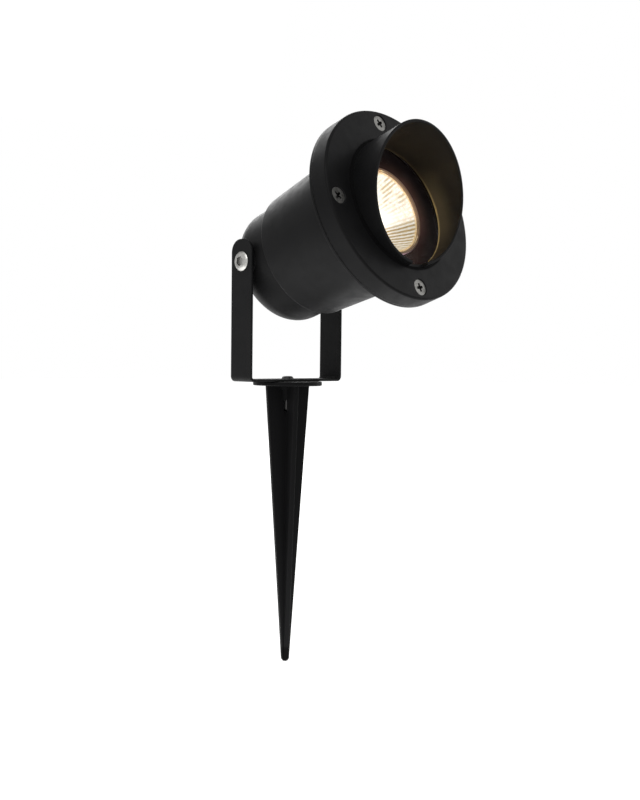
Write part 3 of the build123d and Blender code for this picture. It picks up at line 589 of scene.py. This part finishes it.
hidden_steel = metal("hidden_steel", (0.46, 0.455, 0.435), (0.26, 0.255, 0.24), roughness=0.38)
plated = metal(
    "plated_steel", (0.58, 0.58, 0.56), (0.4, 0.39, 0.36), roughness=0.42, size=1.6 * MM)
brass = metal("brass", (0.74, 0.5, 0.2), (0.42, 0.26, 0.1), roughness=0.34)
nickel = metal("nickel", (0.66, 0.62, 0.54), (0.4, 0.36, 0.3), roughness=0.26)
rubber = moulded(
    "black_rubber", (0.014, 0.014, 0.014), roughness=0.72, specular=0.3, grain=0.6, size=0.8 * MM)
gland_black = moulded(
    "gland_black", (0.011, 0.011, 0.012), roughness=0.5, specular=0.34, grain=0.5, size=0.6 * MM)
washer_black = moulded("washer_black", (0.01, 0.01, 0.01), roughness=0.5, specular=0.3)
block_cream = moulded(
    "block_cream", (0.62, 0.58, 0.47), roughness=0.5, specular=0.4, grain=0.3, size=0.9 * MM)
steatite = ceramic("steatite")

node_looks = {
    "body_housing": head_coat,
    "front_bezel": bezel_coat,
    "bezel_screws": bezel_screw_look(),
    "front_glass": glass("pane", (1.0, 1.0, 1.0), smear=0.05),
    "glass_gasket": rubber,
    "lamp_cover_glass": glass("lamp_pane", (1.0, 0.99, 0.96), smear=0.04),
    "lamp_base": steatite,
    "lamp_capsule": capsule_look(),
    "lamp_pins": nickel,
    "lamp_holder": steatite,
    "holder_contacts": brass,
    "holder_screws": hidden_steel,
    "holder_bracket": plated,
    "bracket_screws": hidden_steel,
    "terminal_block": block_cream,
    "terminal_sleeves": brass,
    "terminal_screws": hidden_steel,
    "terminal_fixing_screw": hidden_steel,
    "live_lead": lead_sleeve("lead_brown", (0.16, 0.06, 0.025)),
    "neutral_lead": lead_sleeve("lead_blue", (0.03, 0.11, 0.42)),
    "earth_lead": lead_sleeve("lead_earth", (0.05, 0.3, 0.07), stripe=(0.72, 0.6, 0.05)),
    "earth_ring_terminal": plated,
    "earth_screw": hidden_steel,
    "gland_body": gland_black,
    "gland_o_ring": rubber,
    "gland_seal": rubber,
    "gland_cap": gland_black,
    "gland_locknut": gland_black,
    "pivot_screws": pivot_screw_look(),
    "pivot_washers": washer_black,
    "yoke_bracket": yoke_coat,
    "spike": spike_look(),
    "spike_nut": hidden_steel,
    "spike_bolt": bolt_look(),
}

for name, look in node_looks.items():
    slots = nodes[name].material_slots
    if not slots:
        nodes[name].data.materials.append(look.material)
    for slot in slots:
        slot.material = look.material


# ---------------------------------------------------------------------------
# Objects
# ---------------------------------------------------------------------------

def add_object(name, data):
    piece = bpy.data.objects.new(name, data)
    bpy.context.scene.collection.objects.link(piece)
    return piece


def add_mesh_object(name, mesh):
    """Object of a finished bmesh, which is freed."""
    data = bpy.data.meshes.new(name)
    mesh.to_mesh(data)
    mesh.free()
    return add_object(name, data)


# Materials of the dish, and its profile from the shelf over the double rim to the back of the neck:
# radius and depth below the rim, in mm, and the material of the band that ends there
LIT, BACK = 0, 1
DISH_OUTSIDE = [
    (22.2, 1.4, LIT), (23.55, 1.4, LIT), (23.6, 0.25, LIT), (23.85, 0.0, LIT),
    (24.15, 0.18, LIT), (24.45, 0.0, LIT), (24.85, 0.1, LIT), (25.0, 0.5, BACK),
    (25.0, 3.0, BACK), (24.2, 7.5, BACK), (22.4, 12.5, BACK), (19.4, 18.5, BACK),
    (15.8, 24.0, BACK), (12.0, 28.0, BACK), (6.5, 28.0, BACK), (6.5, 26.6, BACK),
]
DISH_RINGS = 9                       # rings of facets inside
DISH_SEGMENTS = 104                  # round the shelf, the rim and the outside


def dish():
    """Glass dish of the lamp, with its bright inside cut in rings of small facets."""
    mesh = bmesh.new()
    chance = random.Random(7)

    def ring(radius, along, segments):
        turns = [2 * pi * i / segments for i in range(segments)]
        return [mesh.verts.new((radius * cos(turn), radius * sin(turn), along)) for turn in turns]

    def skin(a, b, material):
        faces = []
        for i in range(len(a)):
            j = (i + 1) % len(a)
            face = mesh.faces.new((a[i], a[j], b[j], b[i]))
            face.material_index = material
            faces.append(face)
        return faces

    # Inside, from the neck to the shelf of the cover glass, on a bowl's curve
    rings = []
    for k in range(DISH_RINGS + 1):
        share = k / DISH_RINGS
        radius = DISH_NECK + (DISH_MOUTH - DISH_NECK) * share ** 0.72
        height = DISH_SHELF + (DISH_DEPTH - 2 * DISH_SHELF) * share ** 1.35
        rings.append(ring(radius, LAMP_RIM_L - DISH_DEPTH + height, DISH_FLUTES))
    facets = []
    for lower, upper in zip(rings, rings[1:]):
        facets += skin(lower, upper, LIT)
    for face in facets:
        middle = face.calc_center_median()
        outward = Vector((middle.x, middle.y, 0)).normalized()
        bulge = (0.12 + 0.1 * chance.random()) * MM
        crown = mesh.verts.new(middle + outward * bulge)
        corners = list(face.verts)
        mesh.faces.remove(face)
        for i in range(4):
            mesh.faces.new((corners[i], corners[(i + 1) % 4], crown))

    before = None
    for radius, depth, material in DISH_OUTSIDE:
        loop = ring(radius * MM, LAMP_RIM_L - depth * MM, DISH_SEGMENTS)
        if before:
            for face in skin(before, loop, material):
                face.smooth = True
        before = loop
    bmesh.ops.recalc_face_normals(mesh, faces=mesh.faces)

    piece = add_mesh_object("lamp_dish", mesh)
    piece.matrix_world = HEAD
    piece.data.materials.append(dish_look().material)
    piece.data.materials.append(dish_back_look().material)
    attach(piece, "head")
    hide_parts("lamp_reflector")


# ---------------------------------------------------------------------------
# Floor, light and camera
# ---------------------------------------------------------------------------

FLOOR_GLOW = 0.72                    # makes the lit floor as white as the world behind it


def world(ambient):
    """White to look at and in reflections, and a soft light of the given strength elsewhere."""
    made = bpy.data.worlds.new("studio")
    made.use_nodes = True
    background = made.node_tree.nodes["Background"]
    background.inputs["Color"].default_value = (1, 1, 1, 1)
    studio = Nodes(made.node_tree)
    studio.link(studio.white_where_seen(ambient), background.inputs["Strength"])
    bpy.context.scene.world = made


def floor():
    """White ground at the spike's tip, which keeps the shadow and glows only where it is seen."""
    mesh = bmesh.new()
    bmesh.ops.create_grid(mesh, x_segments=8, y_segments=8, size=6.0)
    piece = add_mesh_object("floor", mesh)
    piece.location.z = FLOOR_Z
    look = Look("floor_white", Base_Color=(0.8, 0.8, 0.8), Roughness=0.9, Specular_IOR_Level=0.1)
    look.set(Emission_Color=(1.0, 1.0, 1.0))
    look.set(Emission_Strength=look.product(look.white_where_seen(0.0), FLOOR_GLOW))
    look.glow_only()
    piece.data.materials.append(look.material)


def area_light(name, place, target, side, watts, seen=True):
    """Square light at a place, which faces a target."""
    light = bpy.data.lights.new(name, "AREA")
    light.shape = "RECTANGLE"
    light.size = side
    light.size_y = side
    light.energy = watts
    piece = add_object(name, light)
    piece.location = place
    piece.rotation_euler = (Vector(target) - Vector(place)).to_track_quat("-Z", "Y").to_euler()
    piece.visible_camera = seen


def lamp_light(watts):
    """The beam that leaves the lamp's face, which lights the inside of the hood."""
    light = bpy.data.lights.new("lamp_beam", "AREA")
    light.shape = "DISK"
    light.size = 44 * MM
    light.energy = watts
    light.color = (1.0, 0.71, 0.34)
    piece = add_object("lamp_beam", light)
    before_rim = Matrix.Translation((0, 0, LAMP_RIM_L + 0.6 * MM))
    piece.matrix_world = HEAD @ before_rim @ Matrix.Rotation(pi, 4, "X")
    piece.visible_camera = False
    piece.visible_glossy = False
    piece.visible_transmission = False
    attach(piece, "head")


def camera():
    """Camera at the photograph's angle, distance and framing."""
    azimuth = radians(-45.307)
    rise = radians(2.272)
    roll = radians(0.616)
    distance, aside, up_by = 677.16, -18.321, 78.761     # mm, from the pivot
    focal = 1158.59                  # pixels of a picture as high as the photograph
    picture_height = 800             # pixels
    sensor = 36.0                    # mm, along the picture's height
    back = Vector((sin(azimuth) * cos(rise), -cos(azimuth) * cos(rise), sin(rise)))
    level = Vector((cos(azimuth), sin(azimuth), 0))
    upward = back.cross(level)
    right = level * cos(roll) + upward * sin(roll)
    up = upward * cos(roll) - level * sin(roll)
    place = PIVOT + (back * distance - right * aside - up * up_by) * MM
    made = bpy.data.cameras.new("camera")
    made.sensor_width = sensor
    made.lens = focal * sensor / picture_height
    made.clip_start = 0.01
    made.clip_end = 50.0
    piece = add_object("camera", made)
    piece.matrix_world = Matrix((
        (right.x, up.x, back.x, place.x),
        (right.y, up.y, back.y, place.y),
        (right.z, up.z, back.z, place.z),
        (0, 0, 0, 1),
    ))
    bpy.context.scene.camera = piece


dish()
world(ambient=0.45)
floor()
# place, target and side in metres, then watts
area_light("key", (-1.3, -0.9, 1.5), (0, 0, 0.05), 1.1, 18)
area_light("bounce", (-0.2, 0.15, -0.155), (-0.2, 0.15, 1.0), 0.7, 2.2, seen=False)
area_light("fill", (1.8, -0.35, 0.7), (0, 0, 0.05), 1.0, 8)
area_light("back", (0.75, 1.5, 1.0), (0, 0, 0.05), 1.1, 13)
lamp_light(watts=0.05)
camera()
bpy.context.scene.view_settings.view_transform = "Standard"
